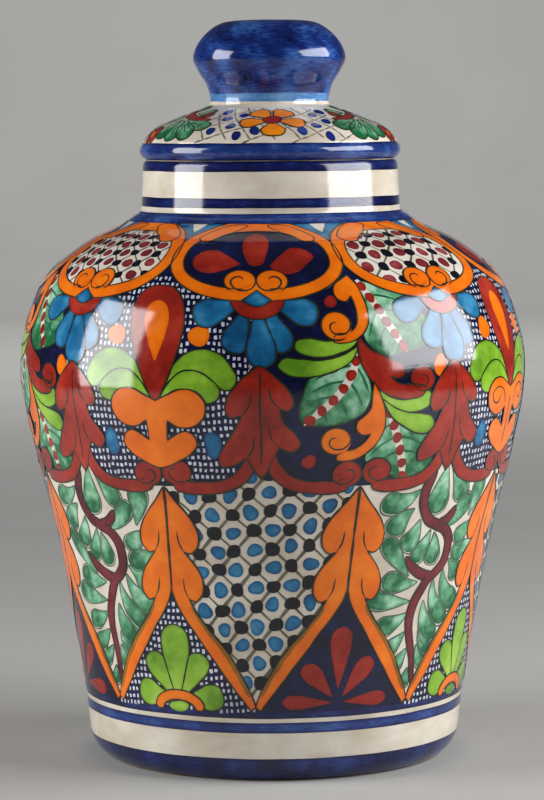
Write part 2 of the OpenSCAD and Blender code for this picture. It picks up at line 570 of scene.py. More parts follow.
    def curl(self, pigment, centre, rx, ry, level, start, sense):
        """The rolled end of a scroll: a round dab whose outline runs on inwards as a spiral. start
        is the angle in degrees where the outline leaves the scroll's stem."""
        self.dot(pigment, centre, rx, ry, level, corners=28, rough=0.02)
        k = self.surface.degree(centre[1])
        gone = np.linspace(0, 570, 66)
        turn = np.radians(start + sense * gone)
        size = np.interp(gone, [0, 290, 370, 570], [1, 1, 0.66, 0.22])
        spiral = np.column_stack([rx * self.flip * np.cos(turn), ry * np.sin(turn)])
        line = self.spot(centre, k) + spiral * size[:, None]
        self.ink(line, k, level + INK, LINE, closed=False)


def ring_band(surface, prefix, pigment, low, high, level, rows=None, hand=hand_lid):
    """A band of paint right round a piece. low and high are mm up the wall, or functions of the
    angle."""
    wander = 0.35       # mm
    theta = np.arange(COLUMNS) * 360 / COLUMNS
    seed = rng.random() * 40
    edges = []
    for n, bound in enumerate((low, high)):
        base = np.array([bound(t) if callable(bound) else bound for t in theta], float)
        wave = [noise_round(math.radians(t), 4, seed + 9 * n) for t in theta]
        edges.append(base + wander * np.array(wave))
    height = edges[1] - edges[0]
    rows = rows or max(2, math.ceil(float(np.max(height)) / 3))
    share = np.linspace(0, 1, rows + 1)[:, None]
    phi, s = hand(np.tile(theta, rows + 1), (edges[0] + share * height).ravel())
    rims = [(c, (c + 1) % COLUMNS) for c in range(COLUMNS)]
    rims += [(rows * COLUMNS + d, rows * COLUMNS + c) for c, d in rims]
    edge = (np.minimum(share, 1 - share) * height).ravel()
    along = np.repeat(share, COLUMNS)
    Pigment.named(prefix + pigment).sheet(surface, phi, s, LIFT + COAT * level, edge, along,
                                          quads(rows + 1, COLUMNS, True), rims)


# ------------------------------------------------------------------ materials

GLAZE_IOR = 1.56


def colour(rgb):
    """A linear colour from 8-bit display values."""
    return tuple(v / 255 / 12.92 if v / 255 <= 0.04045 else ((v / 255 + 0.055) / 1.055) ** 2.4
                 for v in rgb) + (1.0,)


class Finish:
    """A material, with short names for the nodes that the materials here are made of."""

    def __init__(self, name):
        self.material = bpy.data.materials.new(name)
        self.material.use_nodes = True
        tree = self.material.node_tree
        self.nodes, self.links = tree.nodes, tree.links
        self.shader = self.nodes["Principled BSDF"].inputs
        self.place = self.nodes.new("ShaderNodeTexCoord").outputs["Object"]

    def node(self, kind, **values):
        """A new node. Its inputs are set by name, with _ for a space."""
        node = self.nodes.new("ShaderNode" + kind)
        for name, value in values.items():
            socket = node.inputs[name.replace("_", " ")]
            if isinstance(value, bpy.types.NodeSocket):
                self.links.new(value, socket)
            else:
                socket.default_value = value
        return node

    def noise(self, scale, detail, stretch=None):
        place = self.place
        if stretch:
            place = self.node("Mapping", Vector=place, Scale=stretch).outputs["Vector"]
        return self.node("TexNoise", Vector=place, Scale=scale, Detail=detail).outputs["Fac"]

    def carried(self, name):
        """A value that the mesh carries at each of its points."""
        node = self.node("Attribute")
        node.attribute_name = name
        return node.outputs["Fac"]

    def arithmetic(self, operation, a, b):
        node = self.node("Math")
        node.operation = operation
        for socket, value in zip(node.inputs, (a, b)):
            if isinstance(value, bpy.types.NodeSocket):
                self.links.new(value, socket)
            else:
                socket.default_value = value
        return node.outputs[0]

    def added(self, a, share_a, b, share_b):
        """a times its share plus b times its share."""
        return self.arithmetic("ADD", self.arithmetic("MULTIPLY", a, share_a),
                               self.arithmetic("MULTIPLY", b, share_b))

    def mapped(self, value, low, high, to_low, to_high):
        return self.node("MapRange", Value=value, From_Min=low, From_Max=high, To_Min=to_low,
                         To_Max=to_high).outputs["Result"]

    def ramp(self, tone, *stops):
        """A colour for a tone, from stops of (tone, 8-bit colour)."""
        node = self.node("ValToRGB", Fac=tone)
        elements = node.color_ramp.elements
        for i, (position, rgb) in enumerate((stops[0], stops[-1])):
            elements[i].position, elements[i].color = position, colour(rgb)
        for position, rgb in stops[1:-1]:
            elements.new(position).color = colour(rgb)
        return node.outputs["Color"]

    def finished(self, base, roughness, height, strength, distance_m=0.0003):
        """Links the base colour, the roughness and the bump to the shader."""
        bump = self.node("Bump", Height=height, Strength=strength, Distance=distance_m)
        for name, value in (("Base Color", base), ("Roughness", roughness),
                            ("Normal", bump.outputs["Normal"])):
            self.links.new(value, self.shader[name])
        return self.material


def glaze(name, dark, mid, light, blotch=45, streak=None, contrast=1.0, pool=0.35, tip=0.0):
    """Brushed colour under a clear gloss. It pools dark within 2 mm of its edges (pool) or towards
    one end (tip). streak stretches the brush marks."""
    f = Finish(name)
    f.shader["IOR"].default_value = GLAZE_IOR
    clouds, streaks = f.noise(blotch, 3), f.noise(170, 4, streak)
    share = 0.7 if streak else 0.35
    tone = f.added(clouds, 1.3 * contrast, streaks, share * contrast)
    tone = f.arithmetic("ADD", tone, 0.5 - (0.65 + share / 2) * contrast)
    if pool:
        near_edge = f.mapped(f.carried("edge"), 0.0, 2.2, pool, 0.0)
        tone = f.arithmetic("SUBTRACT", tone, near_edge)
    if tip:
        near_end = f.mapped(f.carried("along"), 0.25, 1.0, -tip / 2, tip)
        tone = f.arithmetic("SUBTRACT", tone, near_end)
    height = f.arithmetic("ADD", clouds, f.arithmetic("MULTIPLY", streaks, 0.5))
    return f.finished(f.ramp(tone, (0.1, dark), (0.5, mid), (0.9, light)),
                      f.mapped(streaks, 0.3, 0.7, 0.06, 0.13), height, 0.25)


def white_glaze(name, base, shade):
    """The tin-white ground: warm, faintly clouded, with fine specks where the clay shows."""
    f = Finish(name)
    f.shader["IOR"].default_value = GLAZE_IOR
    clouds, brushed, specks = f.noise(28, 5), f.noise(60, 3, (1, 1, 3)), f.noise(620, 2)
    tone = f.added(clouds, 0.75, brushed, 0.25)
    speck = f.node("Mix")
    speck.data_type = "RGBA"
    speck.inputs["B"].default_value = colour((150, 118, 88))
    f.links.new(f.mapped(specks, 0.71, 0.78, 0.0, 0.7), speck.inputs["Factor"])
    f.links.new(f.ramp(tone, (0.36, shade), (0.62, base)), speck.inputs["A"])
    return f.finished(speck.outputs["Result"], f.mapped(brushed, 0.3, 0.7, 0.07, 0.14),
                      clouds, 0.22)


def bare_clay(name):
    """Unglazed earthenware: sandy, matt, with turning marks."""
    f = Finish(name)
    clouds, grain = f.noise(35, 4), f.noise(1400, 3)
    tone = f.added(clouds, 0.6, grain, 0.4)
    return f.finished(f.ramp(tone, (0.35, (150, 98, 66)), (0.65, (205, 152, 112))),
                      f.mapped(grain, 0.3, 0.7, 0.75, 0.95), grain, 0.5, 0.0002)


ROUND = (1, 1, 7)       # stretches brush marks round the jar
# Each paint's dark, middle and light tones, and what else glaze takes for it
PAINTS = {
    "cobalt": ((3, 4, 16), (9, 13, 48), (26, 38, 96),
               dict(pool=0.1, streak=ROUND, contrast=0.6)),
    "navy": ((6, 10, 40), (16, 26, 82), (40, 64, 132), dict(pool=0.3, streak=ROUND)),
    "line_blue": ((10, 22, 74), (28, 52, 118), (66, 102, 166), dict(pool=0.4, streak=ROUND)),
    "hatch": ((150, 156, 182), (206, 208, 218), (232, 230, 228), dict(pool=0.1)),
    "white": ((200, 190, 172), (216, 208, 196), (228, 221, 210), dict(pool=0.1)),
    "orange": ((200, 84, 2), (232, 110, 6), (248, 142, 26), dict(pool=0.2, contrast=0.7)),
    "amber": ((204, 96, 4), (234, 132, 14), (248, 164, 44), dict(pool=0.2, contrast=0.7)),
    "ochre": ((96, 66, 8), (140, 92, 14), (176, 116, 26), dict(pool=0.0)),
    "red": ((92, 14, 8), (146, 34, 22), (182, 62, 42), dict(pool=0.1, contrast=0.8)),
    "maroon": ((64, 14, 22), (104, 30, 42), (140, 54, 62), dict(pool=0.1)),
    "turquoise": ((6, 54, 94), (26, 104, 150), (82, 156, 192), dict(pool=0.3)),
    "light_green": ((84, 130, 24), (132, 178, 48), (168, 204, 84), dict(pool=0.2, tip=0.2)),
    "leaf_green": ((22, 94, 56), (94, 158, 118), (164, 206, 178),
                   dict(pool=0.2, tip=0.45, blotch=110, contrast=1.2)),
    "vein": ((16, 70, 46), (34, 98, 66), (60, 124, 88), dict(pool=0.0)),
    "black": ((4, 4, 8), (10, 10, 18), (24, 24, 40), dict(pool=0.0)),
    "outline": ((20, 24, 16), (38, 42, 28), (70, 70, 46), dict(pool=0.0)),
    "leaf_line": ((50, 66, 58), (76, 92, 82), (110, 122, 112), dict(pool=0.0)),
    "lattice": ((70, 66, 54), (96, 90, 76), (128, 120, 102), dict(pool=0.0)),
    "wine_dab": ((84, 16, 24), (126, 38, 46), (168, 82, 84), dict(pool=0.15)),
    "net": ((76, 66, 58), (106, 94, 84), (138, 124, 112), dict(pool=0.0)),
    "dab": ((10, 16, 74), (24, 42, 120), (56, 84, 168), dict(pool=0.15)),
    "pale_blue": ((40, 84, 146), (84, 134, 190), (136, 178, 216), dict(pool=0.1, streak=ROUND)),
    "knob_blue": ((4, 10, 50), (17, 42, 112), (56, 100, 172),
                  dict(pool=0.0, streak=ROUND, blotch=55, contrast=1.3)),
}


# ------------------------------------------------------------------ panels below the belly
#
# Levels of the paint, in coats: grounds 0, the lines round the jar 0.5 to 1, nets, leaves and
# drops 0.8 to 1.8, the stem 2.6, a column 3.4, scrolls and swags 3.8 to 4.4, the tree 5, a
# medallion's ring 5.2, the fleur-de-lis 5.8, tongues and curls 6, the line round the neck 7.

# Middle of the orange border under a panel: degrees from the panel's axis, and mm up the wall
BORDER = [(0, 58), (3.3, 69), (6.2, 80), (9.5, 92), (13.3, 104.5), (16.3, 116), (19.7, 127),
          (22.5, 137)]
# One half of a column with the border that runs down from it, in degrees from the column's axis
HALF_COLUMN = [
    (0.2, 208, 1), (2.4, 199), (4.8, 191), (6.8, 183), (7.9, 174), (7.3, 166), (5.6, 162.2),
    (3.9, 163.5, 1), (5.6, 158), (7.7, 150), (8.8, 141), (8.4, 134), (6.6, 129.2), (4.9, 131, 1),
    (6.3, 124), (9.4, 112.5), (13.1, 101), (16.3, 89.5), (19, 77.5), (21.2, 67), (22.6, 58, 1),
    (21.2, 55, 1), (19.4, 61), (16.3, 71), (12.8, 83.5), (9.1, 96.5), (6, 108.5), (2.8, 120.5),
    (0.9, 130), (0.1, 137, 1), (-0.1, 160), (0.1, 185)]
# The shadow along its border
SHADE = [(5.8, 127), (7.4, 120.5), (10.2, 110.5), (13.8, 98.5), (16.8, 87), (19.5, 75),
         (21.4, 65.5)]


def border_height(x):
    return float(np.interp(abs(x), *zip(*BORDER)))


def from_axis(theta):
    """Degrees from the nearest panel's axis, for any angle round the jar."""
    return (theta + HALF) % (2 * HALF) - HALF


def panel_edge(theta):
    """Lower border of the panels, for any angle round the jar."""
    return border_height(from_axis(theta))


def column(b):
    """Two orange acanthus halves that run down into the borders of the panels on either side."""
    for side in (-1, 1):
        b.shape("orange", sided(HALF_COLUMN, side), 3.4)
        b.pen(sided([(x - 0.5, s - 1) for x, s in SHADE], side), 3.6, 2.2, "ochre")
        for out, s in ((3.9, 163.5), (4.9, 131)):
            b.pen(sided([(out, s), (out - 1.1, s + 6), (out - 1.5, s + 14)], side), 3.9)
    b.pen([(0.1, 204), (0, 185), (-0.1, 160), (0, 136)], 4.2, 1.4)


def dots_panel(b):
    """White panel with a slanting net: black dabs on its knots, turquoise ones in its meshes."""
    across, down = np.array([8.9, 2.0]), np.array([0.8, -26.0])
    start = np.array([-1.7, 178.5])
    falling, rising = (across + down) / 2, (across - down) / 2

    def free(x, s):
        return abs(x) < 21.5 and border_height(x) < s < min(swag_edge(x) + 1, 222)

    for i in range(-7, 8):
        for j in range(-9, 10):
            knot = start + i * falling + j * rising
            for way, width in ((falling, 1.3), (rising, 2.1)):
                other = knot + way
                if free(*knot) or free(*other):
                    mid = (knot + other) / 2 + np.array([1, 2]) * rng.uniform(-0.2, 0.2)
                    if free(*mid) and max(knot[1], other[1]) < 232:
                        b.pen([tuple(knot), tuple(mid), tuple(other)], 1, width, "lattice")
            if free(*knot):
                dab = knot + [rng.gauss(0, 0.18), rng.gauss(0, 0.5)]
                b.dot("black", dab, rng.uniform(4.0, 4.8), rng.uniform(4.2, 5.0), 1.6, square=0.08)
            mesh = knot + across / 2 + [rng.gauss(0, 0.2), rng.gauss(0, 0.5)]
            if free(*mesh):
                rx, ry = rng.uniform(4.3, 5.2), rng.uniform(4.6, 5.6)
                b.dot("turquoise", mesh, rx, ry, 1.2, rough=0.1)


# The stem of a leaf panel and the hooks that leave it
STEM = [(-3.6, 217), (-3.9, 211), (-4.7, 203), (-4.8, 195), (-3.7, 187.5), (-1.7, 181), (1.5, 177),
        (4.7, 173), (6.5, 167.5), (7, 158.5), (6.3, 150), (4.3, 144), (1.8, 139.5), (0, 133),
        (-1.7, 125), (-2.7, 116.5), (-2.6, 108), (-1.5, 98.5), (0, 88), (1, 77), (1.4, 68)]
HOOKS = [[(1.4, 177.7), (4, 179.7), (5.9, 183.4), (7, 189.1)],
         [(2.8, 141.1), (0, 142.4), (-3.5, 147.1), (-5.7, 152.5), (-6.9, 157)]]
# Its leaves: base, middle, round end, width in mm
PANEL_LEAVES = [
    ((-6.3, 203), (-11.9, 195), (-16.4, 196), 15), ((-7.2, 190), (-10.4, 183), (-12.7, 173), 16),
    ((-4.7, 182), (-5.9, 172), (-8.3, 162), 15), ((-0.6, 174), (-2.2, 163), (-4.6, 153), 13),
    ((0.9, 172), (1.6, 162), (1.2, 150), 13), ((-5.2, 143), (-9.4, 155), (-13.8, 171), 13),
    ((-2, 138), (-7.3, 138), (-12.8, 143), 15), ((-3.6, 125), (-9.9, 126), (-16.8, 130), 14),
    ((-3.8, 117), (-8.1, 111), (-13, 108), 14), ((-3.7, 104), (-5.9, 98), (-9.4, 90), 12),
    ((-1.9, 93), (-3.8, 86), (-5.9, 79), 9), ((-0.7, 79), (-1.1, 72), (-1.3, 66), 7),
    ((0.7, 218), (0.1, 201), (0.2, 185), 19), ((2.6, 215), (5.8, 206), (8.9, 193), 15),
    ((5.1, 175), (9, 184), (11, 197), 15), ((13.6, 180), (14.8, 193), (15.6, 207), 15),
    ((16, 176), (13.2, 171), (10.2, 162), 15), ((18, 162), (14, 158), (9.6, 153), 14),
    ((8.4, 151), (11.6, 145), (13.3, 136), 14), ((6.9, 145), (8.8, 131), (15.7, 119), 15),
    ((3.6, 139), (5.4, 122), (11.8, 109), 14), ((1.3, 124), (2.8, 110), (7.8, 97), 14),
    ((1, 104), (2.9, 97), (6.3, 89), 9), ((1.3, 94), (2.9, 86), (5.1, 79), 9),
]


def leaf_panel(b, sway):
    """White panel with a wine-red stem winding down it, two hooks and a crowd of watery leaves.
    sway is how far, in degrees, the foot of the stem has drifted to the right."""
    def drift(q):
        return (q[0] + sway * math.exp(-((q[1] - 118) / 32) ** 2), *q[1:])

    for n, (base, middle, end, width) in enumerate(PANEL_LEAVES):
        b.petal("leaf_green", drift(base), drift(end), width * 0.92, 0.8 + (n % 3) * 0.3, line=0.9,
                halo=0.9, liner="leaf_line", blunt=0.7, neck=0.4, middle=drift(middle))
    for hook in HOOKS:
        b.stroke("maroon", [drift(q) for q in hook], 1.9, 6.4, (1, 0.45))
    b.stroke("maroon", [drift(q) for q in STEM], 2.6, 6.8, (0.95, 0.5))
    for hook in HOOKS:      # the stem runs into its hooks without a line between
        joint = (np.array(drift(hook[0])) + drift(hook[1])) / 2
        b.dot("maroon", joint, 2.7, 2.7, 3.3)


def lotus(b):
    """Five light-green petals over an orange arch."""
    petals = [((-1.5, 60), (-13.4, 66), 19, 1.0), ((1.5, 60), (13.6, 65), 19, 1.0),
              ((-1.0, 62), (-8.2, 92), 17, 1.8), ((1.0, 62), (8.0, 93), 17, 1.8),
              ((0, 60), (0, 113), 19, 2.6)]
    for base, end, width, level in petals:
        b.petal("light_green", base, end, width, level, blunt=0.68)
    b.dot("light_green", (0, 56.4), 7.5, 3.4, 3.4)
    arch = [(-7, 54), (-5.6, 60), (-3, 63.4), (0, 64.4), (3, 63.4), (5.6, 60), (7, 54)]
    b.stroke("orange", arch, 3.8, 6.8)


def red_fan(b):
    """Five dark red petals on the solid cobalt ground."""
    petals = [((-1.9, 60), (-15.2, 61), 9.5), ((1.9, 60), (15.2, 61), 9.5),
              ((-1.6, 64), (-9.6, 86), 12),
              ((1.6, 64), (9.2, 89), 12), ((0, 70), (0.1, 112), 13)]
    for base, end, width in petals:
        b.petal("red", base, end, width, 1.2, line=0, blunt=0.66)


def hatch(b, free, low, high):
    """White cells left between crossed cobalt lines, wherever free(x, s) allows and nothing else is
    painted."""
    pitch_x, pitch_s, half_x, half_s = 3.5, 4.5, 0.92, 1.3      # mm
    edge = 22.6
    cells = []
    for s in np.arange(low, high, pitch_s):
        step = pitch_x / b.surface.degree(s)
        for x in np.arange(-edge + rng.uniform(0, 0.35) * step, edge, step):
            sag = 1.3 * math.sin(x * 0.19 + s * 0.04)
            at = (x + rng.gauss(0, 0.07), s + rng.gauss(0, 0.22) + sag)
            if free(*at):
                cells.append(at)
    cells = np.array(cells)
    for at in cells[b.clear(cells)]:
        b.dot("hatch", at, half_x * rng.uniform(0.75, 1.25), half_s * rng.uniform(0.75, 1.2), 0.7,
              corners=8, square=0.3, rough=0.08, take=False)


# ------------------------------------------------------------------ the belly

SWAG = [(1, 243), (1.7, 232), (3.1, 221), (5.4, 213.6), (8.8, 209.6), (12.8, 208.2), (17, 208.4),
        (19.8, 210.6)]
TREE = [(0, 289.5), (1.6, 286.5), (4, 280), (6.2, 271.5), (6.8, 265), (5.8, 260.6),
        (3.9, 261.5, 1), (4.9, 252), (7.2, 244.5), (8.2, 238), (6.8, 233), (3.8, 236, 1),
        (2.4, 228), (1.5, 221), (0, 215, 1), (-1.5, 221), (-3, 229, 1), (-6, 224.2),
        (-8.8, 223.6), (-9.1, 229), (-7.6, 238), (-5.4, 248), (-3.9, 257.5, 1), (-6.4, 256),
        (-7.3, 262), (-6.6, 270), (-4.4, 279), (-1.6, 286.5)]


def swag_edge(theta):
    """Lower border of the cobalt ground, for any angle round the jar."""
    return float(np.interp(abs(from_axis(theta)), [0, 1.7, 3.1, 5.4, 8.8, HALF],
                           [232, 230, 220, 213.6, 209.6, 208.5]))


def tree_and_swags(b):
    """Red acanthus tree on a panel's axis, with swags from its foot to the column heads."""
    for side, rise in ((-1, 218.5), (1, 217)):
        b.stroke("red", sided(SWAG, side), 4.2, 8.6, (0.7, 0.95))
        b.curl("red", (side * 19, rise), 9.8, 8.6, 5.0 + 0.05 * side, 90 - 170 * side, side)
    b.shape("red", TREE, 5.0)
    b.pen([(0.1, 285), (-0.1, 262), (0.1, 240), (0.0, 224)], 5.5, 1.2)
    for s, out in ((261.5, 3.9), (236, 3.8), (257.5, -3.9), (229, -3.0)):
        b.pen([(out, s), (out * 0.6, s + 6), (out * 0.45, s + 14)], 5.5)


def daisy(b):
    """Turquoise half daisy that hangs from a medallion, with its dark red cup."""
    petals = [((-3.0, 331), (-14.0, 321), 18, 2.2), ((3.2, 331), (13.2, 321), 18, 2.2),
              ((-2.0, 328), (-6.0, 298), 18, 2.9), ((2.2, 328), (5.4, 298), 18, 2.9),
              ((0.2, 328), (0.6, 288), 19, 3.6)]
    for base, end, width, level in petals:
        b.petal("turquoise", base, end, width, level, blunt=0.66)
    cup = [(-6.2, 335, 1), (-5.2, 327), (-3.2, 321.6), (0, 319.4), (3.4, 321.6), (5.6, 327),
           (6.7, 335, 1), (3.2, 331.4), (0, 328.6), (-3.4, 331.4)]
    b.shape("red", cup, 4.3, width=0.8)


def hatched_sector(b, curled):
    """Red teardrop, green lobes and an orange fleur-de-lis, with curls drawn in it or plain, on the
    hatched ground."""
    upper = [(0.6, 267, 1), (2.2, 279), (4.4, 290.5), (7.4, 298), (11.2, 300), (14.6, 296.5),
             (16.6, 289.5), (17.8, 281.5), (17, 275), (15.2, 273.4), (13.2, 276.5), (10, 277),
             (5, 272)]
    lower = [(0.8, 267, 1), (3.2, 278.5), (6.2, 285.8), (9.2, 286), (12.2, 281), (14.2, 273.4),
             (13.8, 268), (11.6, 265), (9, 267), (5, 266)]
    for side in (-1, 1):
        for level, points in ((1.0, upper), (1.8, lower)):
            b.shape("light_green", sided(points, side), level, axis=((0, 265), (side * 14, 290)))
        b.dot("orange", (side * 9.8, 308.5), 6.6, 7.0, 1.4, corners=24)
        b.dot("turquoise", (side * 12.2, 237.5), 6.0, 8.6, 1.4, corners=24)
    drop = [(0, 343.5), (3.4, 341.4), (5.6, 334), (6.5, 323), (6, 308), (4.6, 294), (2.8, 280),
            (1.4, 271), (0.2, 264, 1)]
    core = [(0, 332.4), (1.9, 330), (2.9, 322.5), (2.4, 311), (1.2, 300), (0.2, 292.5, 1)]
    fleur = [(0, 266.5, 1), (2.5, 270), (5.5, 274), (9, 272.5), (11, 265), (10.6, 256), (8, 249.8),
             (5, 249.3), (2.5, 253.5, 1), (2.3, 247), (2.2, 240.5, 1), (4.2, 244.5), (6.4, 246.8),
             (8.2, 244), (8.8, 238), (7.2, 231.5), (4.2, 226), (1.6, 222.4), (0, 221.4)]
    b.mirrored("red", drop, 2.6)
    b.mirrored("orange", core, 3.4, outline=False)
    b.mirrored("orange", fleur, 5.8)
    if curled:
        b.pen([(0, 261), (0.2, 245), (0, 226)], 6.3, 1.1)
        spiral = [(2.6, 256), (3.8, 264.5), (6.6, 267.6), (9, 264), (8.4, 258), (6.2, 257.6),
                  (5.6, 261.4)]
        for side in (-1, 1):
            b.pen(sided(spiral, side), 6.3, 1.1)


def beaded_leaf(b, rib, left, right):
    """A broad leaf: its watery green, dark veins that sweep towards its tip, the white midrib and
    the red beads along it."""
    level, width = 0.8, 5.4
    b.shape("leaf_green", [(*rib[0], 1)] + left + [(*rib[-1], 1)] + right[::-1], level,
            axis=(rib[0], rib[-1]), width=0.9)
    for part in (left, right):
        for near, q in zip(rib[1:-1], part[2:]):
            near = np.array(near)
            tip = near + (np.array(q[:2]) - near) * 0.82
            mid = near + (tip - near) * 0.5 + [0, 1.8]
            b.pen([tuple(near), tuple(mid), tuple(tip)], level + 0.6, 1.5, "vein")
    k = b.scale(rib)
    line = curve(b.to_mm(rib, k), 1.5)
    d = lengths(line)
    taper = np.interp(d / d[-1], [0, 0.2, 0.8, 1], [0.5, 1, 1, 0.1])
    b.line_mm("white", line, k, level + 0.8, width / 2 * taper)
    beads = max(3, round(d[-1] / 10))
    for n in range(beads):
        at = (n + 0.6) / (beads + 0.1) * d[-1]
        bead = (np.interp(at, d, line[:, 0]) / k, np.interp(at, d, line[:, 1]))
        b.dot("red", bead, rng.uniform(3.0, 3.7), rng.uniform(3.2, 3.9), level + 1.2, corners=12)


def cobalt_sector(b):
    """Orange scrolls, a red arm, green strokes and beaded leaves on the solid cobalt ground."""
    beaded_leaf(b, [(-1.6, 297), (-2.6, 289), (-4.2, 279), (-6.6, 269), (-9.8, 260),
                    (-13.6, 250.5)],
                [(-5.4, 294), (-10.4, 287), (-13, 278.6), (-13.8, 270.6), (-14.6, 262),
                 (-14.4, 255)],
                [(-0.8, 288), (0.6, 277.4), (0.8, 267.6), (-0.4, 259), (-3.8, 252.4),
                 (-8.4, 249.6)])
    beaded_leaf(b, [(1.6, 347), (3, 336), (4.6, 326), (6.2, 315), (8, 305), (9.8, 296)],
                [(0.9, 336), (0.3, 324), (-0.2, 311), (0.6, 303), (2.6, 297), (5.6, 293.6)],
                [(6.6, 342), (12, 334), (15.4, 324), (16.8, 312), (15.8, 302.4), (12.8, 297.6)])
    beaded_leaf(b, [(4.4, 262), (6.2, 251), (7.6, 241), (8.8, 231), (9.8, 221), (10.4, 209)],
                [(3, 252), (2.2, 243), (1.2, 234.6), (0.3, 226.6), (2.4, 220.6), (6.4, 216)],
                [(8.4, 257), (12.8, 248), (16.2, 239.4), (16.8, 231), (17.8, 222.6), (15.6, 212)])
    # light-green strokes to the left and right
    for level, points in (
            (2.4, [(-0.8, 307, 1), (-5, 305.4), (-8.4, 305), (-12.4, 307), (-14.8, 304.6),
                   (-15, 300.4), (-12.6, 295.6), (-9.4, 294.4), (-5.8, 296.4), (-2.4, 301)]),
            (3.2, [(-1.4, 301, 1), (-5.4, 295.2), (-9.8, 292.6), (-14, 293.8), (-17.6, 294),
                   (-18.8, 289.6), (-17.2, 284.2), (-13.6, 281.8), (-9.6, 283.2), (-6, 286.6),
                   (-3, 292.4)]),
            (2.4, [(2.4, 273, 1), (5.4, 267.4), (9.2, 265.2), (12.4, 267.6), (14.6, 270.6),
                   (15.8, 266), (15, 260.4), (12.8, 257.2), (9.4, 256.6), (6.2, 259), (4, 264)]),
            (3.2, [(3.2, 267, 1), (6.8, 259.8), (10, 256.4), (13.2, 255), (16, 252.4),
                   (16.8, 247), (15.2, 241.8), (12.2, 242.4), (9.2, 246.8), (6, 253.6)])):
        b.shape("light_green", points, level, axis=(points[0][:2], points[len(points) // 2][:2]))
    # upper scroll with its side lobe
    b.shape("orange", [
        (-0.4, 351, 1), (1, 343), (1.7, 334), (2, 324), (1.5, 315), (-0.4, 307.4), (-3.4, 303.4),
        (-6.6, 304.6), (-6, 309), (-3.6, 309.4), (-1.6, 313), (-0.7, 320), (-0.7, 328),
        (-1.1, 334.5, 1), (-2.4, 330.6), (-4.1, 332), (-4.9, 337.5), (-4.2, 343.6),
        (-2.4, 347.4)], 4.4)
    b.curl("orange", (-5.6, 314.4), 9.6, 9.4, 5.2, -60, -1)
    b.dot("red", (-6.0, 331), 4.0, 4.2, 1.4, corners=16)
    # red arm with its side lobe and curl
    b.shape("red", [
        (-1.2, 309, 1), (0.6, 300), (3.4, 294.6), (6.4, 290.8), (8.6, 286.4), (8.8, 281.4),
        (7, 279), (5.4, 280.6, 1), (6.8, 276.8), (9, 275), (11.2, 275), (14.2, 272), (13.2, 267.4),
        (10.8, 265.6), (7.6, 266), (4.2, 269.4), (1.4, 276.4), (-0.5, 285), (-1.6, 296)], 3.8)
    b.curl("red", (13.2, 278.4), 9.6, 8.2, 4.6, -110, 1)
    b.dot("orange", (18.4, 286), 5.4, 7.2, 1.4, corners=20)
    # lower scroll with its side lobe
    b.shape("orange", [
        (1.4, 278, 1), (3.1, 268), (4.2, 258), (4.3, 247), (3, 238), (0.6, 230.8), (-2.8, 226.2),
        (-6.4, 227.4), (-5.6, 232.8), (-2.8, 233.4), (-0.4, 237.4), (1.1, 243.4, 1), (-0.6, 242.8),
        (-2.1, 246.4), (-2.1, 251.6), (-0.6, 255.8), (0.7, 260), (1, 268)], 4.4)
    b.curl("orange", (-6.6, 239.4), 9.8, 9.0, 5.2, -60, -1)
    b.dot("red", (-12.4, 226), 4.4, 4.6, 1.4, corners=16)


# ------------------------------------------------------------------ the shoulder

MEDALLION = 373.5       # mm up the wall to a medallion's middle
OUTER = (23.0, 42.0)    # half-width in degrees and half-height in mm of its ring, outside
INNER = (19.4, 31.0)    # and inside


def oval(radii, middle):
    """A full, slightly squared oval."""
    power = 2.3         # 2 would be an ellipse
    turn = np.linspace(0, 2 * np.pi, 40, endpoint=False)
    c, s = np.cos(turn), np.sin(turn)
    return list(zip(radii[0] * np.sign(c) * abs(c) ** (2 / power),
                    middle + radii[1] * np.sign(s) * abs(s) ** (2 / power)))


def resampled(outline, count):
    """An outline as count points, evenly spaced."""
    share = lengths(outline) / lengths(outline)[-1]
    at = np.linspace(0, 1, count, endpoint=False)
    return np.column_stack([np.interp(at, share, outline[:, i]) for i in (0, 1)])


def medallion(b, painted):
    """Orange ring with a tongue at each upper corner and two scrolls and a turquoise diamond at its
    foot. painted fills it."""
    k = b.surface.degree(MEDALLION)
    outside = curve(b.to_mm(oval(OUTER, MEDALLION), k), 2.2, closed=True)
    within = curve(b.to_mm(oval(INNER, MEDALLION - 2.5), k), 2.2, closed=True)
    painted(b, within, k)
    b.take(outside, k)
    n = 200
    a, c = resampled(outside, n), resampled(within, n)
    ring = np.vstack([a + (c - a) * share for share in (0, 0.33, 0.67, 1)])
    edge = np.concatenate([np.linalg.norm(c - a, axis=1) * v for v in (0, 0.33, 0.33, 0)])
    b.lay("orange", ring, k, 5.2, edge, np.full(4 * n, 0.5), quads(4, n, True))
    b.ink(outside, k, 5.6, 0.9)
    b.ink(within, k, 5.6, 0.9)
    for side in (-1, 1):
        # the tongue towards the front is bigger on the medallions that stand aside from it
        towards_front = painted is dotted_net and math.sin(math.radians(b.axis)) * side < 0
        grown = 1.35 if towards_front else 1.0
        tongue = sided([(3.5, 409.5), (9, 405), (13.2, 398.5), (16.8, 389 - 2 * grown)], side)
        b.stroke("orange", tongue, 6.0, 10.5 * grown, (0.3, 0.95), line=0.8)
        b.curl("orange", (side * 3.8, 346.8), 9.9, 9.0, 6.0 + 0.1 * side, 90 - 150 * side, side)
    b.dot("orange", (0, 340), 8.5, 4.6, 6.2, corners=20, rough=0.0)
    b.shape("turquoise", [(-3.2, 332.6, 1), (-1.6, 329), (0, 327.8), (1.8, 329), (3.2, 332.6, 1),
                          (1.4, 336), (0.1, 339.4, 1), (-1.4, 336)], 6.9, width=0.8)


